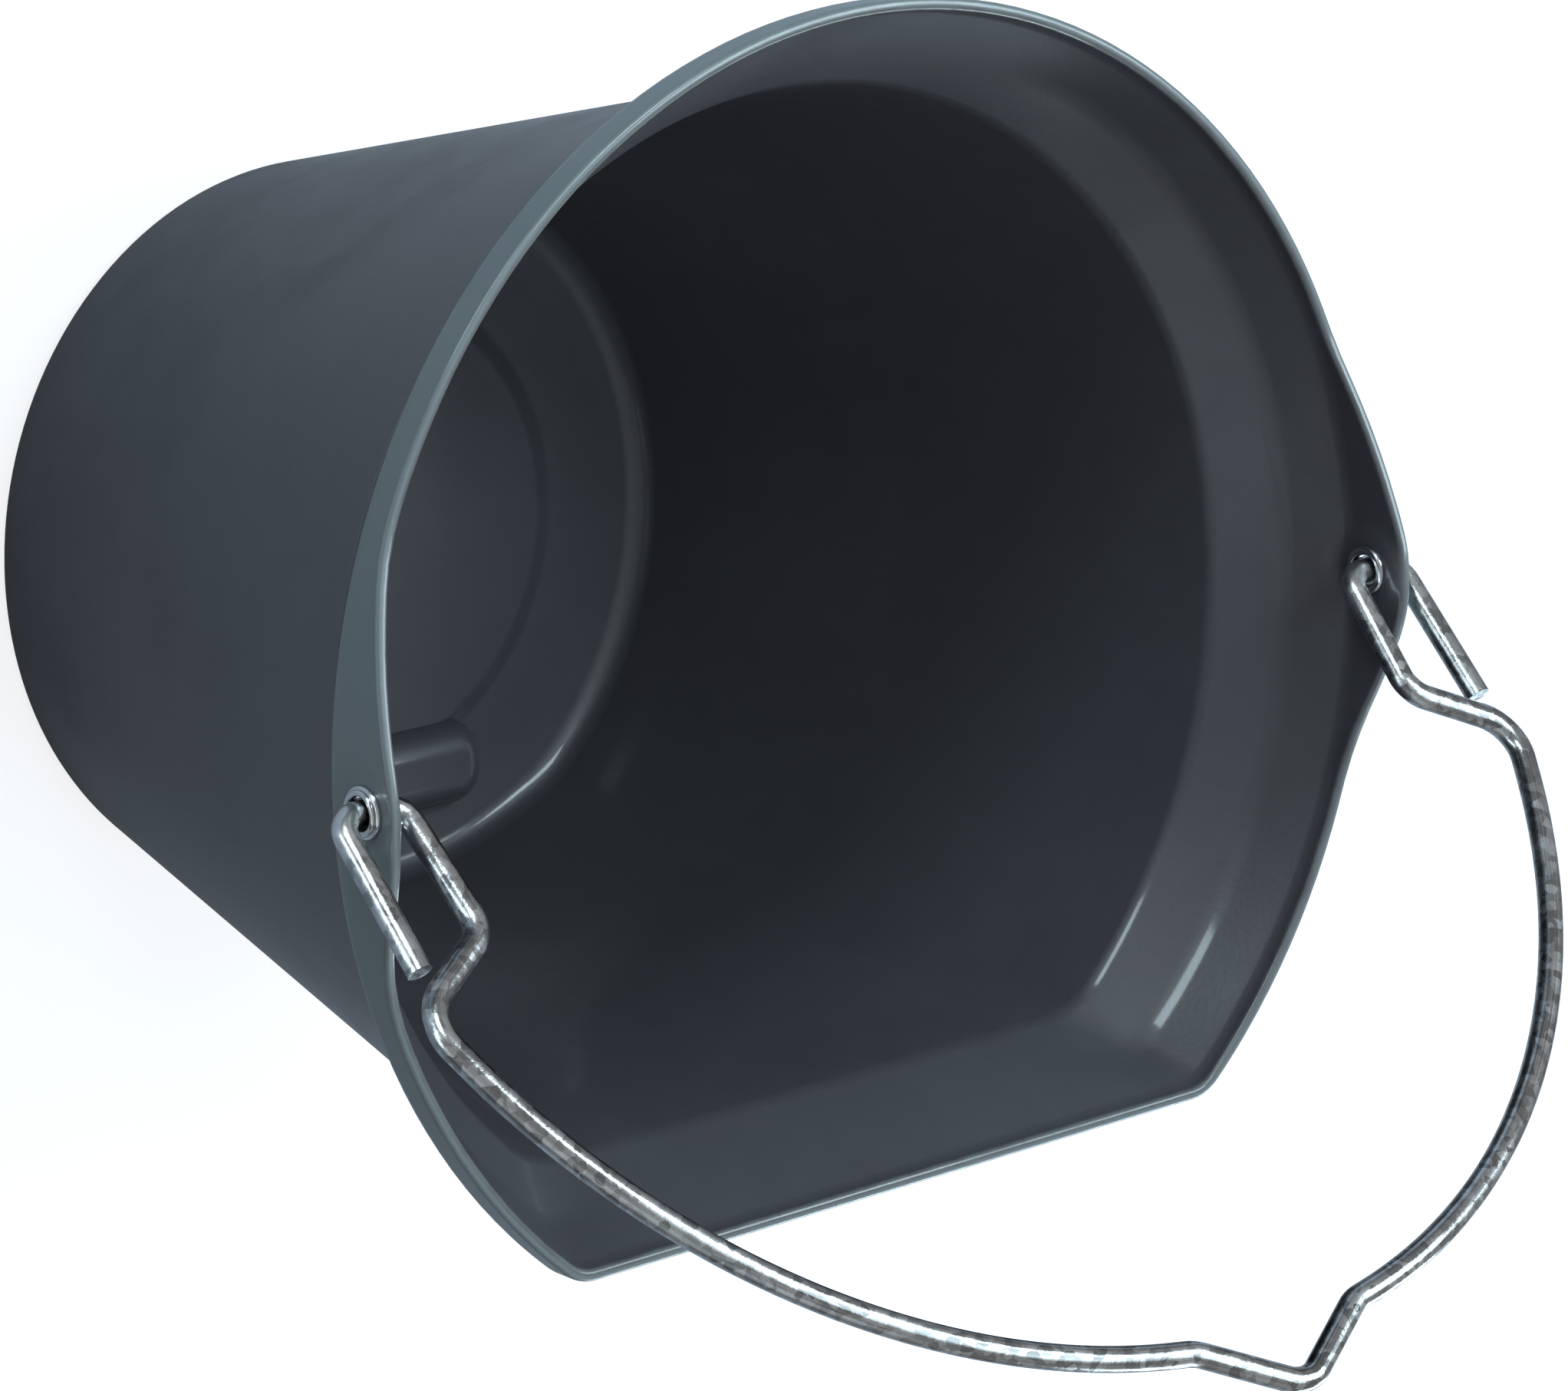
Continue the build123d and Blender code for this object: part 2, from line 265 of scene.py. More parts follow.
def lip_share(angle, height, inset):
    """How far the lip has flared from body to rim: straight, but with a shoulder inside at both sides."""
    if not inset:
        return min((height - BODY_TOP) / (COLLAR_FOOT - BODY_TOP), 1)
    start, full = SHOULDER_BACK if sin(angle) > 0 else SHOULDER_FRONT
    straight = (SHOULDER_HEIGHT - BODY_TOP) / (INNER_COLLAR - BODY_TOP)
    front_or_back = faded((abs(cos(angle)) - start) / (full - start))
    shoulder = SHOULDER_SHARE + (straight - SHOULDER_SHARE) * front_or_back
    if height < SHOULDER_HEIGHT:
        return shoulder * (height - BODY_TOP) / (SHOULDER_HEIGHT - BODY_TOP)
    above = (height - SHOULDER_HEIGHT) / (INNER_COLLAR - SHOULDER_HEIGHT)
    return min(shoulder + (1 - shoulder) * above, 1)


def wall_radius(angle, height, inset):
    """Distance from the axis to the wall at one angle and height."""
    waist = flat_backed(angle, BODY_RADIUS, BODY_CUT, BODY_CORNER, inset)
    if height <= BODY_TOP:
        base = round_base(angle, inset)
        return base + (waist - base) * height / BODY_TOP
    share = lip_share(angle, height, inset)
    if share < 1:
        rim = flat_backed(angle, RIM_RADIUS, RIM_CUT, RIM_CORNER, inset)
        return waist + (rim - waist) * share
    lean = EAR_LEAN * (height - COLLAR_FOOT) / (RIM_HEIGHT + EAR_PEAK - COLLAR_FOOT)
    return flat_backed(angle, RIM_RADIUS, RIM_CUT, RIM_CORNER, inset - lean)


print("the flat back stands", round(wall_radius(pi / 2, RIM_HEIGHT, 0) / MM, 1), "mm back at the rim")

# %% Line of the rim
EAR_SET_BACK = 4 * MM
EAR_FRONT = 61 * MM
EAR_BACK = 48 * MM
EAR_PEAK_ROUND = 50 * MM
EAR_FOOT_ROUND = 60 * MM


def rim_height(y):
    """Height of the rim at a place on Y: level, with a ramp up and down over the ears, bends rounded."""
    up = EAR_PEAK / (EAR_FRONT + EAR_SET_BACK)
    down = -EAR_PEAK / (EAR_BACK - EAR_SET_BACK)
    bends = [
        (-EAR_FRONT, 0, 0, up, EAR_FOOT_ROUND),
        (EAR_SET_BACK, EAR_PEAK, up, down, EAR_PEAK_ROUND),
        (EAR_BACK, 0, down, 0, EAR_FOOT_ROUND),
    ]
    height = 0
    for place, level, before, after, bend in bends:
        reach = bend * tan(abs(atan2(after, 1) - atan2(before, 1)) / 2)
        past = y - place
        if past >= reach:
            height = level + after * past
        elif past > -reach:
            height = level + before * past + (after - before) * (past + reach) ** 2 / (4 * reach)
    return RIM_HEIGHT + height


print("rim peaks at", round(rim_height(EAR_SET_BACK) / MM, 1), "mm over the ears")

# %% [markdown]
# The moulding, ring by ring
#
# A bucket could be spun, but this one isn't round, so it is lofted by hand: a circle is extruded from the
# middle of the underside out to the foot ring, up the outside, over the rim and down the inside to the
# middle of the floor. After each extrusion the new loop is laid on the outline. Every vertex remembers
# its spoke, the angle it belongs to. The spokes crowd at the ears and at the corners of the flat back,
# where the shape needs them.

# %% Spokes
# from this angle to that one, in degrees, in so many steps
HALF_TURN_SPANS = [(-90, -6, 36), (-6, 6, 24), (6, 44, 17), (44, 47, 4), (47, 55, 22), (55, 90, 14)]

right_half = [radians(-90)]
for start, stop, count in HALF_TURN_SPANS:
    right_half += [radians(start + (stop - start) * (step + 1) / count) for step in range(count)]
spokes = right_half + [pi - angle for angle in right_half[-2:0:-1]]
print("spokes:", len(spokes))

# %% Loops
FLOOR_HEIGHT = 25 * MM
FLOOR_THICKNESS = 4 * MM
FOOT_WIDTH = 6.5 * MM
DISC_RADIUS = 68.5 * MM
DISC_RISE = 3 * MM
DISC_SLOPE = 6 * MM
HUB_RADIUS = 12 * MM
ceiling = FLOOR_HEIGHT - FLOOR_THICKNESS


def wall_loop(height, inset):
    """A place on the wall for every angle, all at one height."""
    def place(angle):
        radius = wall_radius(angle, height, inset)
        return Vector((radius * cos(angle), radius * sin(angle), height))
    return place


def rim_loop(inset):
    """A place on the wall for every angle, along the line of the rim and its ears."""
    def place(angle):
        height = rim_height(wall_radius(angle, RIM_HEIGHT, inset) * sin(angle))
        return wall_loop(height, inset)(angle)
    return place


def floor_loop(radius, height):
    """A circle about the middle of the base."""
    def place(angle):
        return Vector((radius * cos(angle), radius * sin(angle) - BASE_FORWARD, height))
    return place


loops = {
    "hub_below": floor_loop(HUB_RADIUS, ceiling + DISC_RISE),
    "disc_top_below": floor_loop(DISC_RADIUS - DISC_SLOPE, ceiling + DISC_RISE),
    "disc_foot_below": floor_loop(DISC_RADIUS, ceiling),
    "foot_ceiling": floor_loop(BASE_RADIUS - FOOT_WIDTH, ceiling),
    "foot_inside": floor_loop(BASE_RADIUS - FOOT_WIDTH, 0),
    "foot_outside": wall_loop(0, 0),
    "kink_outside": wall_loop(BODY_TOP, 0),
    "collar_outside": wall_loop(COLLAR_FOOT, 0),
    "rim_outside": rim_loop(0),
    "rim_inside": rim_loop(WALL),
    "collar_inside": wall_loop(INNER_COLLAR, WALL),
    "shoulder_inside": wall_loop(SHOULDER_HEIGHT, WALL),
    "kink_inside": wall_loop(BODY_TOP, WALL),
    "floor_edge": wall_loop(FLOOR_HEIGHT, WALL),
    "disc_foot": floor_loop(DISC_RADIUS, FLOOR_HEIGHT),
    "disc_top": floor_loop(DISC_RADIUS - DISC_SLOPE, FLOOR_HEIGHT + DISC_RISE),
    "hub": floor_loop(HUB_RADIUS, FLOOR_HEIGHT + DISC_RISE),
}
loop_numbers = {name: number for number, name in enumerate(loops)}
print("loops:", len(loops), "from", list(loops)[0], "to", list(loops)[-1])

# %% Extruded moulding
def lay_loop(name):
    """Lay the selected vertices on one loop of the moulding, each at its own spoke."""
    shape = bmesh.from_edit_mesh(bpy.context.object.data)
    spoke = shape.verts.layers.int["spoke"]
    loop = shape.verts.layers.int["loop"]
    for vert in shape.verts:
        if vert.select:
            vert.co = loops[name](spokes[vert[spoke]])
            vert[loop] = loop_numbers[name]
    bmesh.update_edit_mesh(bpy.context.object.data)


deselect()
bpy.ops.mesh.primitive_circle_add(vertices=len(spokes), radius=HUB_RADIUS)
shell = bpy.context.object
shell.name = "bucket_moulding"
bpy.ops.object.mode_set(mode="EDIT")
shape = bmesh.from_edit_mesh(shell.data)
spoke = shape.verts.layers.int.new("spoke")
shape.verts.layers.int.new("loop")
for number, vert in enumerate(shape.verts):
    vert[spoke] = number
bmesh.update_edit_mesh(shell.data)
for number, name in enumerate(loops):
    if number:
        bpy.ops.mesh.extrude_region_move()
    lay_loop(name)
bpy.ops.object.mode_set(mode="OBJECT")
print("moulding:", len(loops), "loops of", len(spokes), "spokes,", len(shell.data.polygons), "faces")

# %% [markdown]
# Rounding the moulding
#
# A mould has no sharp corners. Bevelling whole loops rounds them: tight where the body turns into the
# lip, where the photograph shows a crisp line, broad at the shoulder, whose highlight is wide, and thin
# on both edges of the rim. A bevel takes the distance along the faces, so each radius is turned into that
# distance through the turn.

# %% Rounded loops and closed middles
KINK_TURN = radians(25.4)
COLLAR_TURN = radians(38.9)
INNER_KINK_TURN = radians(28.6)
SHOULDER_TURN = radians(17.1)
INNER_COLLAR_TURN = radians(22.5)
SQUARE_TURN = radians(90.0)
DISC_TURN = radians(26.6)
# loop, radius in millimetres, turn, segments
ROUNDINGS = [
    ("disc_top_below", 4, DISC_TURN, 3),
    ("disc_foot_below", 4, DISC_TURN, 3),
    ("foot_ceiling", 3, SQUARE_TURN, 4),
    ("foot_inside", 1.2, SQUARE_TURN, 4),
    ("foot_outside", 4, SQUARE_TURN, 6),
    ("kink_outside", 8, KINK_TURN, 4),
    ("collar_outside", 5, COLLAR_TURN, 4),
    ("rim_outside", 1.2, SQUARE_TURN, 5),
    ("rim_inside", 1.2, SQUARE_TURN, 5),
    ("collar_inside", 10, INNER_COLLAR_TURN, 5),
    ("shoulder_inside", 22, SHOULDER_TURN, 6),
    ("kink_inside", 9, INNER_KINK_TURN, 6),
    ("floor_edge", 6, SQUARE_TURN, 7),
    ("disc_foot", 4, DISC_TURN, 3),
    ("disc_top", 4, DISC_TURN, 3),
]


def pick(kind, test):
    """Select the parts of one kind, VERT, EDGE or FACE, that pass a test, of the mesh in edit mode."""
    bpy.ops.mesh.select_mode(type=kind)
    bpy.ops.mesh.select_all(action="DESELECT")
    shape = bmesh.from_edit_mesh(bpy.context.object.data)
    for part in {"VERT": shape.verts, "EDGE": shape.edges, "FACE": shape.faces}[kind]:
        if test(part):
            part.select_set(True)
    bmesh.update_edit_mesh(bpy.context.object.data)


def pick_loop(*names):
    """Select the edges that run round one loop, or those that run from one loop to the next."""
    loop = bmesh.from_edit_mesh(bpy.context.object.data).verts.layers.int["loop"]
    numbers = {loop_numbers[name] for name in names}
    pick("EDGE", lambda edge: {vert[loop] for vert in edge.verts} == numbers)


bpy.ops.object.mode_set(mode="EDIT")
for name, radius, turn, segments in ROUNDINGS:
    pick_loop(name)
    offset = radius * MM * tan(turn / 2)
    bpy.ops.mesh.bevel(offset=offset, offset_type="OFFSET", segments=segments, affect="EDGES")
for name in ("hub_below", "hub"):
    pick_loop(name)
    bpy.ops.mesh.merge(type="CENTER")
print("rounded moulding:", len(bmesh.from_edit_mesh(shell.data).faces), "faces")

# %% [markdown]
# Even faces
#
# The long faces between the bends are cut into rows. A row of edges that all run the same way is
# subdivided, which is a loop cut made without the mouse. The rows are closest at the ears, because the
# next step presses a round pad into them.

# %% Rows between the loops
# from this loop to that one, so many cuts
ROWS = [
    ("foot_outside", "kink_outside", 9),
    ("kink_outside", "collar_outside", 8),
    ("collar_outside", "rim_outside", 9),
    ("rim_inside", "collar_inside", 9),
    ("collar_inside", "shoulder_inside", 5),
    ("shoulder_inside", "kink_inside", 4),
    ("kink_inside", "floor_edge", 9),
    ("floor_edge", "disc_foot", 2),
    ("disc_top", "hub", 3),
]
for lower, upper, cuts in ROWS:
    pick_loop(lower, upper)
    bpy.ops.mesh.subdivide(number_cuts=cuts)
bpy.ops.mesh.select_all(action="SELECT")
bpy.ops.mesh.normals_make_consistent(inside=False)
print("moulding in rows:", len(bmesh.from_edit_mesh(shell.data).faces), "faces")

# %% [markdown]
# Ears that take an eyelet
#
# Each ear is flat on both sides where its eyelet sits. Pushing the nearby vertices onto a plane, and less
# and less as they lie further out, gives the soft edge of a moulded boss. The hole is cut by deleting the
# faces in the middle, drawing the open edges in to a circle and bridging the outer circle to the inner
# one.

# %% Pads and eyelet holes
HINGE = Vector(frame["joints"][0]["pos_m"])
PAD_OUT = 169.4 * MM
PAD_IN = 166.2 * MM
PAD_RADIUS = 8.1 * MM
PAD_FADE = 5 * MM
BARREL_HOLE = 4.77 * MM
HOLE_CLEARED = 6 * MM
EAR_ZONE = 120 * MM


def from_hinge(place):
    """Distance of a place from the hinge line."""
    return hypot(place.y - HINGE.y, place.z - HINGE.z)


def in_the_way(face, side):
    """Whether a face lies where the eyelet's hole goes, in the ear on one side."""
    middle = face.calc_center_median()
    return middle.x * side > EAR_ZONE and from_hinge(middle) < HOLE_CLEARED


shape = bmesh.from_edit_mesh(shell.data)
for vert in shape.verts:
    weight = faded((from_hinge(vert.co) - PAD_RADIUS) / PAD_FADE)
    if weight and abs(vert.co.x) > EAR_ZONE:
        angle = atan2(vert.co.y, vert.co.x)
        middle = wall_radius(angle, vert.co.z, WALL / 2)
        plane = PAD_OUT if hypot(vert.co.x, vert.co.y) > middle else PAD_IN
        side = 1 if vert.co.x > 0 else -1
        vert.co.x += (side * plane - vert.co.x) * weight
bmesh.update_edit_mesh(shell.data)
for side in (1, -1):
    pick("FACE", lambda face: in_the_way(face, side))
    bpy.ops.mesh.delete(type="FACE")
    bpy.ops.mesh.select_mode(type="EDGE")
    bpy.ops.mesh.select_non_manifold()
    bpy.ops.mesh.extrude_region_move()
    shape = bmesh.from_edit_mesh(shell.data)
    for vert in shape.verts:
        if vert.select:
            out = Vector((0, vert.co.y - HINGE.y, vert.co.z - HINGE.z)).normalized() * BARREL_HOLE
            vert.co.y, vert.co.z = HINGE.y + out.y, HINGE.z + out.z
    bmesh.update_edit_mesh(shell.data)
    bpy.ops.mesh.bridge_edge_loops()
bpy.ops.mesh.select_all(action="SELECT")
bpy.ops.mesh.normals_make_consistent(inside=False)
bpy.ops.object.mode_set(mode="OBJECT")
print("pierced moulding:", len(shell.data.polygons), "faces")

# %% [markdown]
# The finger recess
#
# Under the flat back the base has a recess for the fingers, which shows inside as a bump on the floor.
# Both are blocks with rounded corners. A Boolean joins the larger one to the floor and cuts the smaller
# one out from below, which keeps an even wall between them.

# %% Bump and recess
GRIP_WIDTH = 74 * MM
GRIP_DEPTH = 23.5 * MM
GRIP_RISE = 10 * MM
GRIP_CORNER = 10 * MM
GRIP_ROUND = 8 * MM
GRIP_SETBACK = 15.3 * MM
LARGEST_ROUND = 0.9
GRIP_SEGMENTS = 8
SHELL_SMOOTH = radians(32)
grip_back = BASE_RADIUS - BASE_FORWARD - WALL - GRIP_SETBACK


def rounded_block(name, inset, bottom):
    """A block with rounded upright edges and a rounded top, drawn in by inset."""
    top = FLOOR_HEIGHT + GRIP_RISE - inset
    deselect()
    middle = (0, grip_back - GRIP_DEPTH / 2, (top + bottom) / 2)
    bpy.ops.mesh.primitive_cube_add(size=1, location=middle)
    block = bpy.context.object
    block.name = name
    block.scale = (GRIP_WIDTH - 2 * inset, GRIP_DEPTH - 2 * inset, top - bottom)
    bpy.ops.object.transform_apply(location=True, rotation=True, scale=True)
    bpy.ops.object.mode_set(mode="EDIT")
    pick("EDGE", lambda edge: abs(edge.verts[0].co.z - edge.verts[1].co.z) > GRIP_ROUND)
    corner = GRIP_CORNER - inset
    bpy.ops.mesh.bevel(offset=corner, segments=GRIP_SEGMENTS, affect="EDGES")
    pick("EDGE", lambda edge: all(abs(vert.co.z - top) < MM for vert in edge.verts))
    top_round = min(GRIP_ROUND, LARGEST_ROUND * corner)
    bpy.ops.mesh.bevel(offset=top_round, segments=GRIP_SEGMENTS, affect="EDGES")
    bpy.ops.object.mode_set(mode="OBJECT")
    return block


def combine(piece, other, operation):
    """Join another shape to a piece, or cut it out, and throw the other shape away."""
    deselect()
    bpy.context.view_layer.objects.active = piece
    piece.select_set(True)
    bpy.ops.object.modifier_add(type="BOOLEAN")
    boolean = piece.modifiers[-1]
    boolean.operation = operation
    boolean.object = other
    boolean.solver = "EXACT"
    bpy.ops.object.modifier_apply(modifier=boolean.name)
    bpy.data.objects.remove(other)


combine(shell, rounded_block("bump", 0, FLOOR_HEIGHT - FLOOR_THICKNESS / 2), "UNION")
combine(shell, rounded_block("recess", FLOOR_THICKNESS, ceiling - FLOOR_THICKNESS), "DIFFERENCE")
bpy.ops.object.shade_smooth_by_angle(angle=SHELL_SMOOTH)
bpy.ops.object.modifier_add(type="WEIGHTED_NORMAL")
shell.modifiers[-1].keep_sharp = True
bpy.ops.object.modifier_apply(modifier=shell.modifiers[-1].name)
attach(shell, "bucket")
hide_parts("bucket_shell")
print("finished moulding:", len(shell.data.polygons), "faces")

# %% [markdown]
# Rings in the ears
#
# An eyelet is a short tube pressed from sheet: a flange inside the ear, a barrel through it, and an end
# that is rolled over a washer on the outside. A half section drawn as a closed outline, with rounded
# corners, and spun about the hinge gives each ring. The left ones are mirrored copies with meshes of
# their own.

# %% Sections of the rings
BORE = 4.05 * MM
BARREL = 4.75 * MM
FLANGE_RADIUS = 6.6 * MM
CLINCH_RADIUS = 5.75 * MM
FLANGE_IN = 165 * MM
WASHER_OUT = 170.6 * MM
CLINCH_OUT = 171.5 * MM
# place on X, radius, rounding of the corner in millimetres
EYELET_SECTION = [
    (FLANGE_IN, BORE, 1.2),
    (FLANGE_IN, FLANGE_RADIUS, 1.0),
    (PAD_IN, FLANGE_RADIUS, 0.15),
    (PAD_IN, BARREL, 0),
    (WASHER_OUT, BARREL, 0),
    (WASHER_OUT, CLINCH_RADIUS, 0.15),
    (CLINCH_OUT, CLINCH_RADIUS, 0.7),
    (CLINCH_OUT, BORE, 0.9),
]
WASHER_SECTION = [
    (PAD_OUT, BARREL_HOLE, 0),
    (PAD_OUT, FLANGE_RADIUS, 0.2),
    (WASHER_OUT, FLANGE_RADIUS, 0.8),
    (WASHER_OUT, BARREL_HOLE, 0),
]
print("sections:", len(EYELET_SECTION), "corners on an eyelet,", len(WASHER_SECTION), "on a washer")

# %% Spun rings
RING_STEPS = 72
RING_CORNER_SEGMENTS = 6
SAME_PLACE = 1e-6
METAL_SMOOTH = radians(40)


def round_corner(point, radius, segments):
    """Round the corner of an outline that lies at a point."""
    pick("VERT", lambda vert: (vert.co - point).length < SAME_PLACE)
    vert = next(v for v in bmesh.from_edit_mesh(bpy.context.object.data).verts if v.select)
    before, after = [(edge.other_vert(vert).co - vert.co) for edge in vert.link_edges]
    turn = pi - before.angle(after)
    bpy.ops.mesh.bevel(offset=radius * tan(turn / 2), segments=segments, affect="VERTICES")


def finish_metal():
    """Merge doubles in the mesh in edit mode, turn its faces outwards and smooth its shading."""
    bpy.ops.mesh.select_all(action="SELECT")
    bpy.ops.mesh.remove_doubles(threshold=SAME_PLACE)
    bpy.ops.mesh.normals_make_consistent(inside=False)
    bpy.ops.object.mode_set(mode="OBJECT")
    bpy.ops.object.shade_smooth_by_angle(angle=METAL_SMOOTH)


def spun_ring(name, section):
    """A ring turned about the hinge from its half section of (x, radius, rounding in mm) corners."""
    deselect()
    bpy.ops.mesh.primitive_circle_add(vertices=len(section))
    ring = bpy.context.object
    ring.name = name
    bpy.ops.object.mode_set(mode="EDIT")
    corners = [HINGE + Vector((x, 0, radius)) for x, radius, rounding in section]
    shape = bmesh.from_edit_mesh(ring.data)
    for vert, corner in zip(shape.verts, corners):
        vert.co = corner
    bmesh.update_edit_mesh(ring.data)
    for corner, (x, radius, rounding) in zip(corners, section):
        if rounding:
            round_corner(corner, rounding * MM, RING_CORNER_SEGMENTS)
    bpy.ops.mesh.select_all(action="SELECT")
    bpy.ops.mesh.spin(steps=RING_STEPS, angle=2 * pi, center=HINGE, axis=(1, 0, 0))
    finish_metal()
    return ring


def other_side(piece, name):
    """The same piece on the other side, with its own mesh."""
    deselect()
    piece.select_set(True)
    bpy.context.view_layer.objects.active = piece
    bpy.ops.object.duplicate()
    copy = bpy.context.object
    copy.name = name
    copy.scale.x = -1
    bpy.ops.object.transform_apply(scale=True)
    bpy.ops.object.mode_set(mode="EDIT")
    finish_metal()
    return copy


rings = {}
for kind, section in (("eyelet", EYELET_SECTION), ("washer", WASHER_SECTION)):
    rings[f"right_{kind}"] = spun_ring(f"right_{kind}_ring", section)
    rings[f"left_{kind}"] = other_side(rings[f"right_{kind}"], f"left_{kind}_ring")
for node, ring in rings.items():
    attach(ring, "bucket")
    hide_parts(node)
    print(ring.name, len(ring.data.polygons), "faces")

# %% [markdown]
# The bail
#
# The handle is one length of wire: a hook through each ear, a jog that carries it out over the rim, a
# long arc and a pointed notch at the middle, for hanging. It is drawn flat, as on a bending bench. One
# half is extruded point by point, the long arc is spun, every corner gets its bend radius, and a mirror
# makes the other half. A curve with a round bevel then gives the wire its thickness, and the two cut ends
# get a small chamfer.

# %% Corners of the wire
WIRE = 6.5 * MM
HOOK_ROOM = 0.2 * MM
HOOK_BEND = 6 * MM
HOOK_FREE_END = 43 * MM
JOG_INNER = 37 * MM
JOG_OUTER = 54 * MM
JOG_LEAN = 3 * MM
JOG_INNER_BEND = 8 * MM
JOG_OUTER_BEND = 12 * MM
JOG_LEAD = 3 * MM
BAIL_RADIUS = 190.8 * MM
NOTCH_HALF = 27 * MM
NOTCH_RISE = 14.5 * MM
NOTCH_BEND = 12 * MM
NOTCH_TIP_BEND = 9 * MM

free_x = CLINCH_OUT + HOOK_ROOM + HOOK_BEND
leg_x = FLANGE_IN - HOOK_ROOM - HOOK_BEND
lead = JOG_OUTER_BEND + JOG_LEAD
arc_from = asin(JOG_OUTER / hypot(BAIL_RADIUS, lead)) + atan2(lead, BAIL_RADIUS)
arc_to = pi / 2 - asin((NOTCH_HALF + NOTCH_BEND / 2) / BAIL_RADIUS)


def on_arc(angle):
    """A place on the bail's long arc."""
    return Vector((cos(angle), sin(angle), 0)) * BAIL_RADIUS


def along_arc(angle):
    """The way along the long arc, towards the notch."""
    return Vector((-sin(angle), cos(angle), 0))


hook_foot = Vector((free_x, 0, 0))
leg_foot = Vector((leg_x, 0, 0))
jog_in = Vector((leg_x - JOG_LEAN, JOG_INNER, 0))
jog_out = on_arc(arc_from) - along_arc(arc_from) * lead
notch_foot = on_arc(arc_to) + along_arc(arc_to) * NOTCH_BEND / 2
notch_tip = Vector((0, BAIL_RADIUS + NOTCH_RISE, 0))
print("the long arc turns", round(degrees(arc_to - arc_from), 1), "degrees on each side")

# %% Half of the wire
ARC_STEPS = 64

deselect()
bpy.ops.mesh.primitive_plane_add(size=WIRE)
bail = bpy.context.object
bail.name = "bail_wire"
bpy.ops.object.mode_set(mode="EDIT")
bpy.ops.mesh.merge(type="CENTER")
here = Vector((free_x, HOOK_FREE_END, 0))
bpy.ops.transform.translate(value=here)
for corner in (hook_foot, leg_foot, jog_in, jog_out, on_arc(arc_from)):
    bpy.ops.mesh.extrude_region_move(TRANSFORM_OT_translate={"value": corner - here})
    here = corner
bpy.ops.mesh.spin(steps=ARC_STEPS, angle=arc_to - arc_from, center=(0, 0, 0), axis=(0, 0, -1))
here = on_arc(arc_to)
for corner in (notch_foot, notch_tip):
    bpy.ops.mesh.extrude_region_move(TRANSFORM_OT_translate={"value": corner - here})
    here = corner
# corner, bend radius, segments
BENDS = [
    (hook_foot, HOOK_BEND, 10),
    (leg_foot, HOOK_BEND, 10),
    (jog_in, JOG_INNER_BEND, 8),
    (jog_out, JOG_OUTER_BEND, 8),
    (notch_foot, NOTCH_BEND, 8),
]
for corner, radius, segments in BENDS:
    round_corner(corner, radius, segments)
bpy.ops.object.mode_set(mode="OBJECT")
print("half of the wire:", len(bail.data.vertices), "points")

# %% Whole wire
MIRROR_MERGE = 1e-5
NOTCH_TIP_SEGMENTS = 10
WIRE_ROUNDNESS = 6
WIRE_END_CHAMFER = 0.6 * MM
BAIL_ANGLE = radians(43)

bpy.ops.object.modifier_add(type="MIRROR")
bail.modifiers[-1].merge_threshold = MIRROR_MERGE
bpy.ops.object.modifier_apply(modifier=bail.modifiers[-1].name)
bpy.ops.object.mode_set(mode="EDIT")
round_corner(notch_tip, NOTCH_TIP_BEND, NOTCH_TIP_SEGMENTS)
bpy.ops.object.mode_set(mode="OBJECT")
places = [vert.co for vert in bail.data.vertices]
wire_length = sum((places[start] - places[end]).length for start, end in bail.data.edge_keys)
bpy.ops.object.convert(target="CURVE")
bail.data.bevel_depth = WIRE / 2
bail.data.bevel_resolution = WIRE_ROUNDNESS
bail.data.use_fill_caps = True
bpy.ops.object.convert(target="MESH")
bail.rotation_euler.x = BAIL_ANGLE
bail.location = HINGE
bpy.ops.object.transform_apply(location=True, rotation=True, scale=True)
bpy.ops.object.mode_set(mode="EDIT")
bpy.ops.mesh.select_all(action="SELECT")
bpy.ops.mesh.remove_doubles(threshold=SAME_PLACE)
# the two caps are the only faces with more than four corners
pick("FACE", lambda face: len(face.verts) > 4)
bpy.ops.mesh.bevel(offset=WIRE_END_CHAMFER, segments=1, affect="EDGES")
finish_metal()
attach(bail, "handle")
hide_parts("bail")
print("bail:", round(wire_length / MM), "mm of wire,", len(bail.data.polygons), "faces,",
      "maps:", [layer.name for layer in bail.data.uv_layers])

# %% [markdown]
# Lights for the wire alone
#
# The wire needs more light than the moulding can take. Light linking names the pieces that a light
# reaches, so these two reach the wire alone: a strip low on the right brightens the streak along it, and
# a softbox overhead greys its upper side.

# %% Linked lights
wire_only = bpy.data.collections.new("wire_only")
wire_only.objects.link(bail)
wire_lights = [
    softbox("wire_strip", 78, 0, 1.7, 1.2, 0.22, 18),
    softbox("wire_sky", 309, 76, 1.8, 1.4, 1.4, 16),
]
for light in wire_lights:
    light.light_linking.receiver_collection = wire_only
print("lights for the wire alone:", [light.name for light in wire_lights])

# %% [markdown]
# Marks that the finishes read
#
# Wear sits in known places: on the edges of the rim and of the foot, and where the wire runs in its
# rings. The rim's edges also carry a painted highlight, and each ring's bore a painted shade beside the
# wire. A float attribute on the vertices says how much each place gets, so that the material doesn't
# have to guess. It belongs to the mesh and moves with it. A second one marks the upright band outside
# the rim, which gets a painted reflection, paler than the wall below it.

# %% Rubbed places
RIM_RUB = 3.5 * MM
FOOT_RUB = 3 * MM
BAND_EDGE = 1.5 * MM
WIRE_RUB = 14 * MM
RING_SHADE_REACH = 1.2 * MM


def mark(piece, name, amount):
    """A float attribute on every vertex of a piece, worked out from its place."""
    layer = piece.data.attributes.new(name, "FLOAT", "POINT")
    values = [amount(vert.co) for vert in piece.data.vertices]
    layer.data.foreach_set("value", values)
    print(piece.name, name, "on", sum(value > 0.5 for value in values), "of", len(values), "vertices")


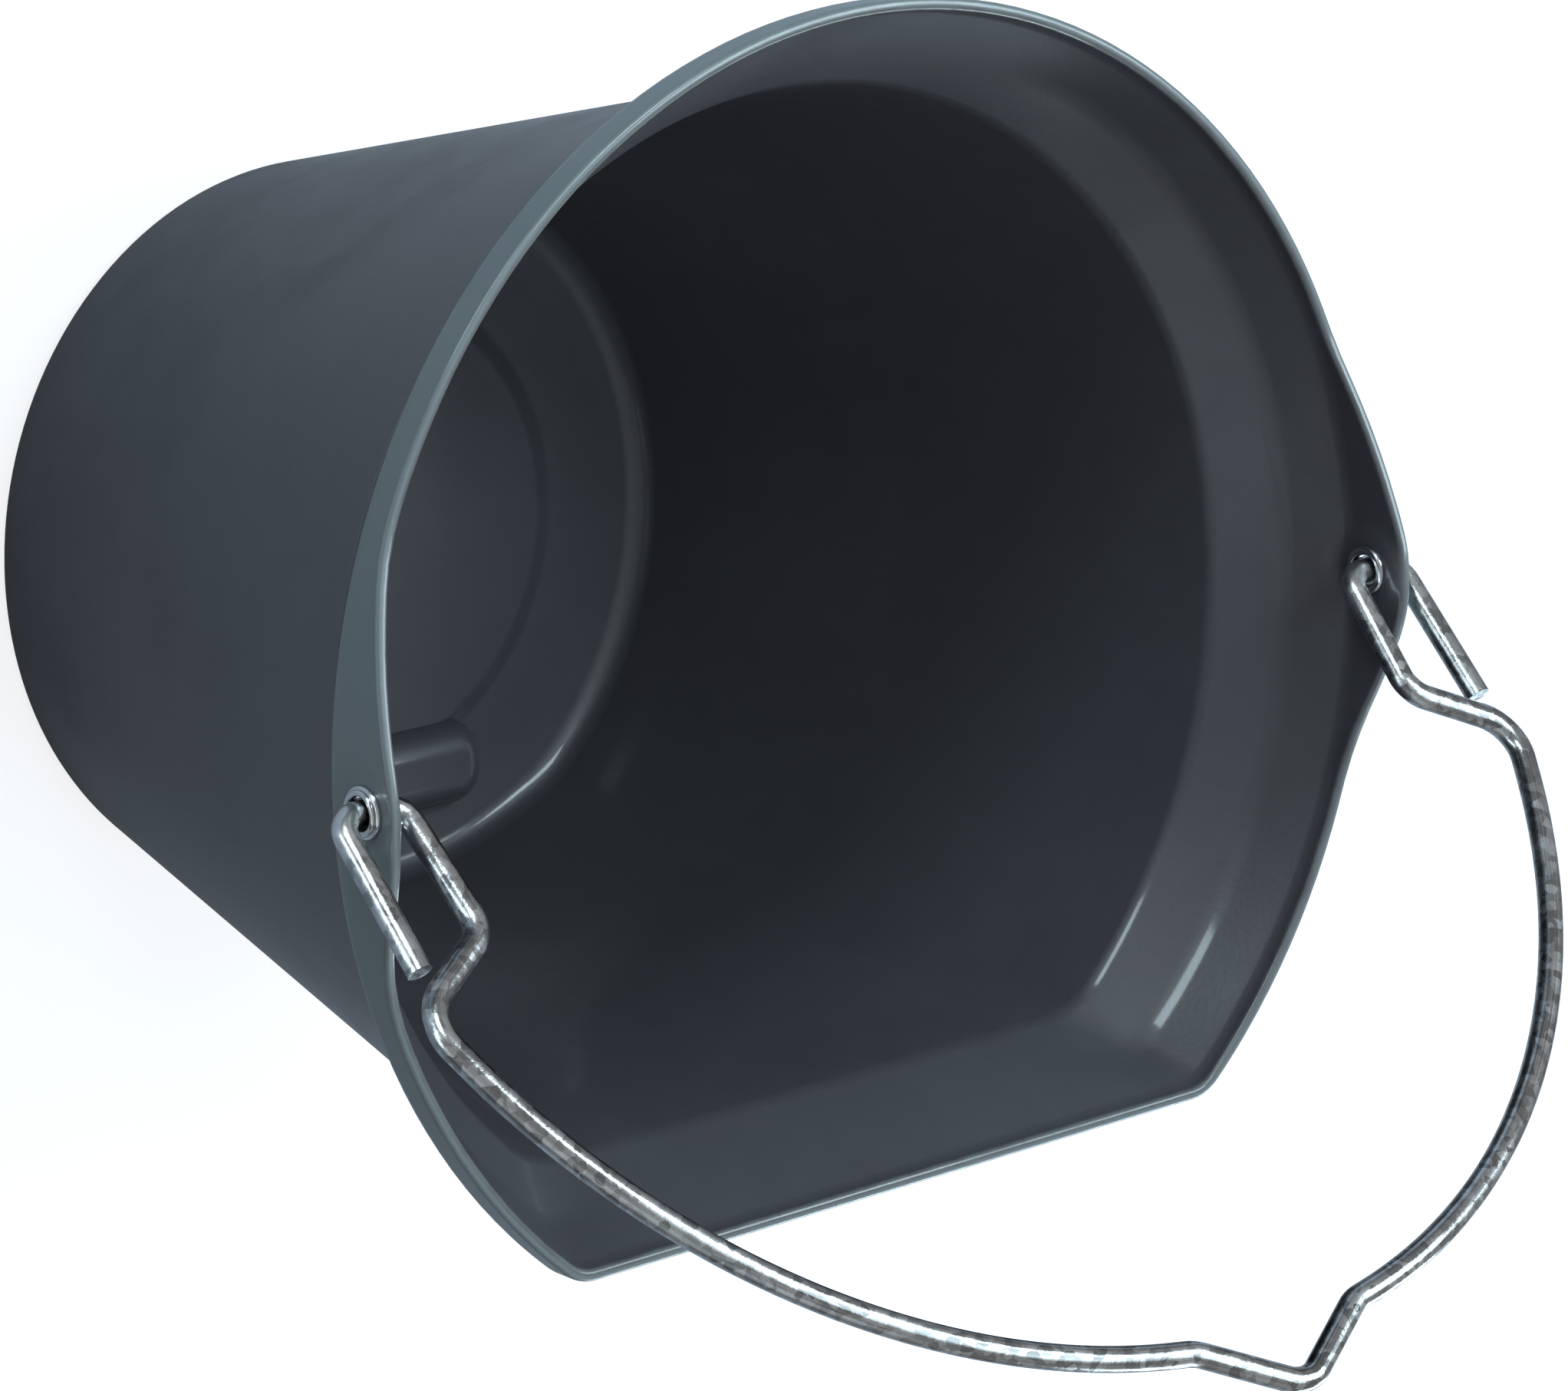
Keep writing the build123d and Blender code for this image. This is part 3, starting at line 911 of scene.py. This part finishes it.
def shell_wear_and_highlight(place):
    """Rubbed at the rim, where a painted highlight also goes, and under the foot."""
    rim = 0
    if place.z > COLLAR_FOOT - RIM_RUB:
        rim = faded((rim_height(place.y) - place.z) / RIM_RUB)
    return max(rim, faded(place.z / FOOT_RUB))


def band_reflection_mask(place):
    """The upright band outside the rim, with a soft lower edge, where a paler painted reflection goes."""
    middle = wall_radius(atan2(place.y, place.x), max(place.z, BODY_TOP), WALL / 2)
    if hypot(place.x, place.y) < middle:
        return 0
    return faded((COLLAR_FOOT - place.z) / BAND_EDGE)


mark(shell, "wear_and_painted_light", shell_wear_and_highlight)
mark(shell, "band_painted_reflection", band_reflection_mask)
mark(bail, "wear_and_painted_light", lambda place: faded((from_hinge(place) - WIRE) / WIRE_RUB))
# on the rings this mask marks the bore, where the finish paints shade next to the wire
for ring in rings.values():
    mark(ring, "wear_and_painted_light", lambda place: faded((from_hinge(place) - BORE) / RING_SHADE_REACH))

# %% [markdown]
# Shared effects
#
# Three node groups give effects that more than one material uses. Fine grain is the texture of a mould or
# of a zinc bath. Smudges are broad, faint changes from handling. Rubbed edges break the attribute of wear
# and painted light up with noise, so that it doesn't end in a clean line. Each group puts out plain values
# only; the shader stays in the material.

# %% Fine grain
def new_group(name, inputs, outputs):
    """An empty shader node group with float sockets, and its two end nodes."""
    group = bpy.data.node_groups.new(name, "ShaderNodeTree")
    for label, value in inputs.items():
        socket = group.interface.new_socket(label, in_out="INPUT", socket_type="NodeSocketFloat")
        socket.default_value = value
    for label in outputs:
        group.interface.new_socket(label, in_out="OUTPUT", socket_type="NodeSocketFloat")
    return group, group.nodes.new("NodeGroupInput"), group.nodes.new("NodeGroupOutput")


def noise(tree, place, scale, detail, roughness):
    """A noise texture on a vector socket; scale is a number or a socket."""
    texture = add_node(tree, "ShaderNodeTexNoise", Detail=detail, Roughness=roughness)
    tree.links.new(place, texture.inputs["Vector"])
    if isinstance(scale, (int, float)):
        texture.inputs["Scale"].default_value = scale
    else:
        tree.links.new(scale, texture.inputs["Scale"])
    return texture.outputs["Fac"]


def spread(tree, value, low, high, to_low, to_high):
    """Stretch a value from one range to another, smoothly."""
    ranged = add_node(tree, "ShaderNodeMapRange", interpolation_type="SMOOTHSTEP")
    ends = {"From Min": low, "From Max": high, "To Min": to_low, "To Max": to_high}
    for label, end in ends.items():
        ranged.inputs[label].default_value = end
    tree.links.new(value, ranged.inputs["Value"])
    return ranged.outputs["Result"]


def math(tree, operation, first, second):
    """A math node on two sockets or numbers."""
    node = add_node(tree, "ShaderNodeMath", operation=operation)
    for socket, value in zip(node.inputs, (first, second)):
        if isinstance(value, (int, float)):
            socket.default_value = value
        else:
            tree.links.new(value, socket)
    return node.outputs["Value"]


grain_group, ends_in, ends_out = new_group("fine_grain", {"Scale": 900, "Pits": 0.3}, ["Height", "Tone"])
place = add_node(grain_group, "ShaderNodeTexCoord").outputs["Object"]
pebble = noise(grain_group, place, ends_in.outputs["Scale"], 3, 0.55)
broad = noise(grain_group, place, math(grain_group, "MULTIPLY", ends_in.outputs["Scale"], 0.12), 2, 0.5)
pits = spread(grain_group, broad, 0.30, 0.42, 1, 0)
pitted = math(grain_group, "MULTIPLY", pits, ends_in.outputs["Pits"])
grain_group.links.new(math(grain_group, "SUBTRACT", pebble, pitted), ends_out.inputs["Height"])
grain_group.links.new(broad, ends_out.inputs["Tone"])
print("group:", grain_group.name)

# %% Smudges
smudge_group, ends_in, ends_out = new_group("smudges", {"Scale": 9, "Contrast": 1}, ["Mask"])
place = add_node(smudge_group, "ShaderNodeTexCoord").outputs["Object"]
cloud = noise(smudge_group, place, ends_in.outputs["Scale"], 6, 0.62)
streak = noise(smudge_group, place, math(smudge_group, "MULTIPLY", ends_in.outputs["Scale"], 5), 4, 0.7)
both = math(smudge_group, "MULTIPLY", spread(smudge_group, cloud, 0.38, 0.66, 0, 1), streak)
mask = math(smudge_group, "MULTIPLY", both, ends_in.outputs["Contrast"])
smudge_group.links.new(mask, ends_out.inputs["Mask"])
print("group:", smudge_group.name)

# %% Rubbed edges, painted highlight and painted shade
wear_and_light_group, ends_in, ends_out = new_group("rubbed_edges_and_painted_light", {"Scale": 60, "Amount": 1}, ["Mask"])
place = add_node(wear_and_light_group, "ShaderNodeTexCoord").outputs["Object"]
# the attribute marks wear, and also where a painted highlight or a painted shade goes
wear_and_painted_light = add_node(wear_and_light_group, "ShaderNodeAttribute", attribute_name="wear_and_painted_light").outputs["Fac"]
worn = math(wear_and_light_group, "MULTIPLY", wear_and_painted_light, noise(wear_and_light_group, place, ends_in.outputs["Scale"], 5, 0.65))
patchy = spread(wear_and_light_group, worn, 0.22, 0.62, 0, 1)
mask = math(wear_and_light_group, "MULTIPLY", patchy, ends_in.outputs["Amount"])
wear_and_light_group.links.new(mask, ends_out.inputs["Mask"])
print("group:", wear_and_light_group.name)

# %% [markdown]
# Dark moulded shell
#
# The shell is a charcoal moulding with a blue cast and a satin skin. A dark plastic like this gets most
# of its look from its reflection, so the base colour is nearly black and the gloss carries the detail.
# Under a thin coat, which draws the crisp streaks, lies a duller skin, which gives the soft bands.
# Smudges change both in patches, the grain breaks the highlight up, the rubbed rim turns paler and
# duller, with a painted highlight on its edges, and the band below gets a paler painted reflection.

# %% Shell finish
SHELL_TONE = (0.038, 0.037, 0.043, 1)
SHELL_TONE_DEEP = (0.032, 0.031, 0.036, 1)
# rubbed rim and foot: paler wear, and on the rim's edges also a painted highlight
SHELL_WORN_AND_HIGHLIT = (0.070, 0.078, 0.082, 1)
# painted reflection: the upright band outside the rim, paler than the wall below
SHELL_BAND_PAINTED_REFLECTION = (0.085, 0.100, 0.108, 1)
SMUDGED = (0, 0.7)
SKIN_ROUGHNESS = (0.38, 0.48)
COAT_WEIGHT = (0.40, 0.22)
COAT_ROUGHNESS = 0.10
RUBBED_DULLER = 0.12
SHELL_GRAIN_DEPTH = 0.4 * MM


def new_material(name, **values):
    """A material with a Principled shader whose sockets are set by name, with spaces as underscores."""
    material = bpy.data.materials.new(name)
    material.use_nodes = True
    shader = material.node_tree.nodes["Principled BSDF"]
    for label, value in values.items():
        shader.inputs[label.replace("_", " ")].default_value = value
    return material, material.node_tree, shader


def use_group(tree, group, **values):
    """A node that uses a group, with its inputs set."""
    node = add_node(tree, "ShaderNodeGroup", node_tree=group)
    for label, value in values.items():
        node.inputs[label].default_value = value
    return node.outputs


def mixed(tree, share, first, second):
    """Mix two colours, each a socket or a value, by a socket; a mix node's colours are sockets 6 and 7."""
    mix = add_node(tree, "ShaderNodeMix", data_type="RGBA")
    tree.links.new(share, mix.inputs["Factor"])
    for socket, colour in ((mix.inputs[6], first), (mix.inputs[7], second)):
        if isinstance(colour, tuple):
            socket.default_value = colour
        else:
            tree.links.new(colour, socket)
    return mix.outputs[2]


def bumped(tree, shader, height, strength, distance):
    """Let a height socket tilt the shader's normal."""
    bump = add_node(tree, "ShaderNodeBump", Strength=strength, Distance=distance)
    tree.links.new(height, bump.inputs["Height"])
    tree.links.new(bump.outputs["Normal"], shader.inputs["Normal"])


shell_finish, tree, shader = new_material(
    "charcoal_moulding", Specular_IOR_Level=0.35, Coat_Roughness=COAT_ROUGHNESS
)
grain = use_group(tree, grain_group, Scale=700, Pits=0.2)
smudge = use_group(tree, smudge_group, Scale=9, Contrast=1)
wear_and_light = use_group(tree, wear_and_light_group, Scale=70, Amount=0.55)
tone = mixed(tree, grain["Tone"], SHELL_TONE_DEEP, SHELL_TONE)
# the band outside the rim is mixed paler, a painted reflection
band_painted_reflection = add_node(tree, "ShaderNodeAttribute", attribute_name="band_painted_reflection").outputs["Fac"]
tone = mixed(tree, band_painted_reflection, tone, SHELL_BAND_PAINTED_REFLECTION)
# the rim's edges and the foot are mixed paler: wear, with a painted highlight on the rim
tree.links.new(mixed(tree, wear_and_light["Mask"], tone, SHELL_WORN_AND_HIGHLIT), shader.inputs["Base Color"])
dull = math(tree, "MULTIPLY", wear_and_light["Mask"], RUBBED_DULLER)
skin = spread(tree, smudge["Mask"], *SMUDGED, *SKIN_ROUGHNESS)
tree.links.new(spread(tree, smudge["Mask"], *SMUDGED, *COAT_WEIGHT), shader.inputs["Coat Weight"])
tree.links.new(math(tree, "ADD", skin, dull), shader.inputs["Roughness"])
bumped(tree, shader, grain["Height"], 0.12, SHELL_GRAIN_DEPTH)
shell.data.materials.clear()
shell.data.materials.append(shell_finish)
print("shell wears", shell.data.materials[0].name)

# %% [markdown]
# Zinc on the wire, nickel on the rings
#
# The wire was drawn through a die and then dipped in zinc. The dip leaves a spangle, flat crystals of
# slightly different greys, which a Voronoi texture gives. The wire's own map runs along its length, so
# stretching a noise on it gives the drawn streaks. The rings are plated bright, with fine lines from the
# press that run round them, and a painted shade darkens them next to the wire, in the bore.

# %% Zinc wire
WIRE_DARK = (0.20, 0.205, 0.21, 1)
WIRE_PALE = (0.61, 0.62, 0.63, 1)
WIRE_BRIGHT = (0.70, 0.71, 0.72, 1)
STREAKS_LONG = 60
STREAKS_ROUND = 9
FLAKE_SHARE = 0.35
WIRE_ROUGHNESS = (0.15, 0.32)
WIRE_GRAIN_DEPTH = 0.3 * MM

wire_finish, tree, shader = new_material("zinc_wire", Metallic=1.0)
grain = use_group(tree, grain_group, Scale=1400, Pits=0.5)
smudge = use_group(tree, smudge_group, Scale=30, Contrast=1)
wear_and_light = use_group(tree, wear_and_light_group, Scale=120, Amount=0.8)
coords = add_node(tree, "ShaderNodeTexCoord").outputs
crystal = add_node(tree, "ShaderNodeTexVoronoi", Scale=420)
tree.links.new(coords["Object"], crystal.inputs["Vector"])
flakes = add_node(tree, "ShaderNodeSeparateColor")
tree.links.new(crystal.outputs["Color"], flakes.inputs["Color"])
stretch = add_node(tree, "ShaderNodeMapping")
stretch.inputs["Scale"].default_value = (STREAKS_ROUND, STREAKS_LONG, 1)
tree.links.new(coords["UV"], stretch.inputs["Vector"])
drawn = noise(tree, stretch.outputs["Vector"], 1.0, 4, 0.6)
spangle = math(tree, "MULTIPLY", flakes.outputs["Red"], FLAKE_SHARE)
streaks = math(tree, "MULTIPLY", drawn, 1 - FLAKE_SHARE)
mottle = math(tree, "ADD", spangle, streaks)
zinc = mixed(tree, spread(tree, mottle, 0.2, 0.8, 0, 1), WIRE_DARK, WIRE_PALE)
tree.links.new(mixed(tree, wear_and_light["Mask"], zinc, WIRE_BRIGHT), shader.inputs["Base Color"])
uneven = math(tree, "ADD", mottle, smudge["Mask"])
tree.links.new(spread(tree, uneven, 0.2, 1.3, *WIRE_ROUGHNESS), shader.inputs["Roughness"])
bumped(tree, shader, grain["Height"], 0.15, WIRE_GRAIN_DEPTH)
bail.data.materials.clear()
bail.data.materials.append(wire_finish)
print("wire wears", bail.data.materials[0].name)

# %% Bright rings
RING_TONE = (0.66, 0.67, 0.68, 1)
RING_DULL = (0.46, 0.47, 0.48, 1)
# painted shade: the plating turns near black in the bore, where the wire shades the ring
RING_PAINTED_SHADE = (0.020, 0.020, 0.022, 1)
RING_ROUGHNESS = (0.14, 0.26)
RING_LINE_DEPTH = 0.2 * MM

ring_finish, tree, shader = new_material("bright_plating", Metallic=1.0)
smudge = use_group(tree, smudge_group, Scale=60, Contrast=1)
wear_and_light = use_group(tree, wear_and_light_group, Scale=200, Amount=1)
coords = add_node(tree, "ShaderNodeTexCoord").outputs
offset = add_node(tree, "ShaderNodeVectorMath", operation="SUBTRACT")
tree.links.new(coords["Object"], offset.inputs[0])
offset.inputs[1].default_value = HINGE
across = add_node(tree, "ShaderNodeVectorMath", operation="MULTIPLY")
tree.links.new(offset.outputs["Vector"], across.inputs[0])
across.inputs[1].default_value = (0, 1, 1)
out = add_node(tree, "ShaderNodeVectorMath", operation="LENGTH")
tree.links.new(across.outputs["Vector"], out.inputs[0])
lines = add_node(tree, "ShaderNodeTexNoise", noise_dimensions="1D", Scale=4000, Detail=3)
tree.links.new(out.outputs["Value"], lines.inputs["W"])
worn = mixed(tree, smudge["Mask"], RING_TONE, RING_DULL)
# near the bore the plating is mixed to near black, a painted shade beside the wire
tree.links.new(mixed(tree, wear_and_light["Mask"], worn, RING_PAINTED_SHADE), shader.inputs["Base Color"])
tree.links.new(spread(tree, lines.outputs["Fac"], 0.3, 0.7, *RING_ROUGHNESS), shader.inputs["Roughness"])
bumped(tree, shader, lines.outputs["Fac"], 0.05, RING_LINE_DEPTH)
for ring in rings.values():
    ring.data.materials.clear()
    ring.data.materials.append(ring_finish)
print(len(rings), "rings wear", ring_finish.name)
